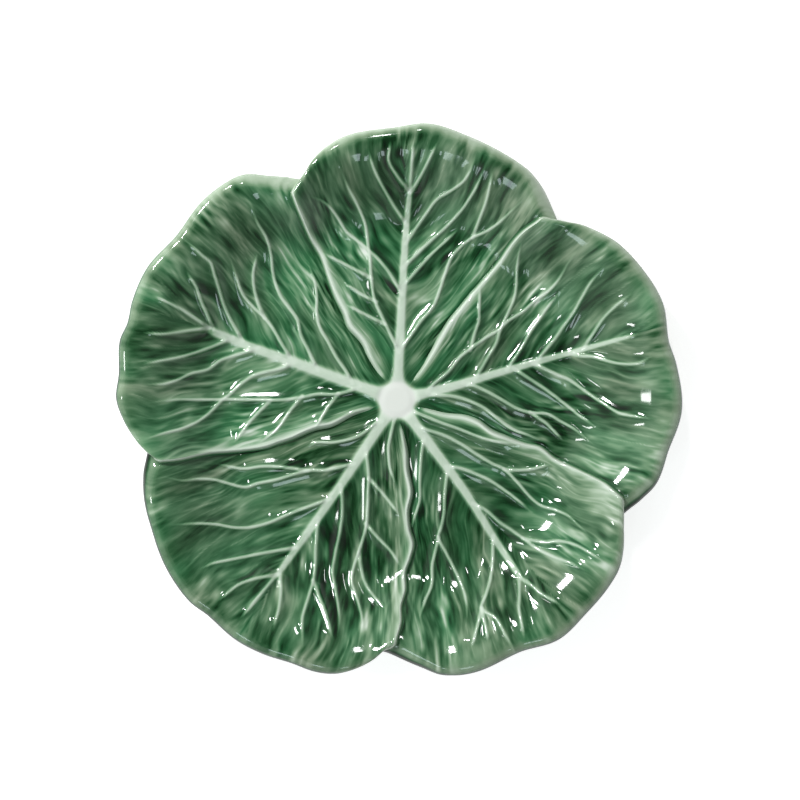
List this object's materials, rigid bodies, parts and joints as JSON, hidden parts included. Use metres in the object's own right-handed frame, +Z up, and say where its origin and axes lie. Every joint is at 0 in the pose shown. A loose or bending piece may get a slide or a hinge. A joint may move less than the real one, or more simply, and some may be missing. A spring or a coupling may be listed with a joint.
{
  "type": "leaf shaped plate",
  "caption": "Round dinner plate moulded as overlapping cabbage leaves with raised ribs, a flat well, a ruffled rim and a foot ring",
  "frame": {"origin": "on the plane the foot ring rests on, below the middle of the heart", "axes": "+Z up through the well; +Y towards the top of the picture, +X to its right"},
  "size_m": [0.2649, 0.2585, 0.0306],
  "materials": {
    "leaf_glaze": "glossy translucent green glaze, dark where it pools",
    "rib_glaze": "the same glaze, thin and pale over the raised ribs",
    "heart_glaze": "pale glossy glaze",
    "foot_glaze": "glossy green glaze with a bare clay edge"
  },
  "bodies": {
    "root": {"leaf_back": "leaf_glaze", "leaf_left": "leaf_glaze", "leaf_front_left": "leaf_glaze", "leaf_front_right": "leaf_glaze", "leaf_right": "leaf_glaze", "ribs_back": "rib_glaze", "ribs_left": "rib_glaze", "ribs_front_left": "rib_glaze", "ribs_front_right": "rib_glaze", "ribs_right": "rib_glaze", "heart": "heart_glaze", "foot_ring": "foot_glaze"}
  },
  "joints": []
}
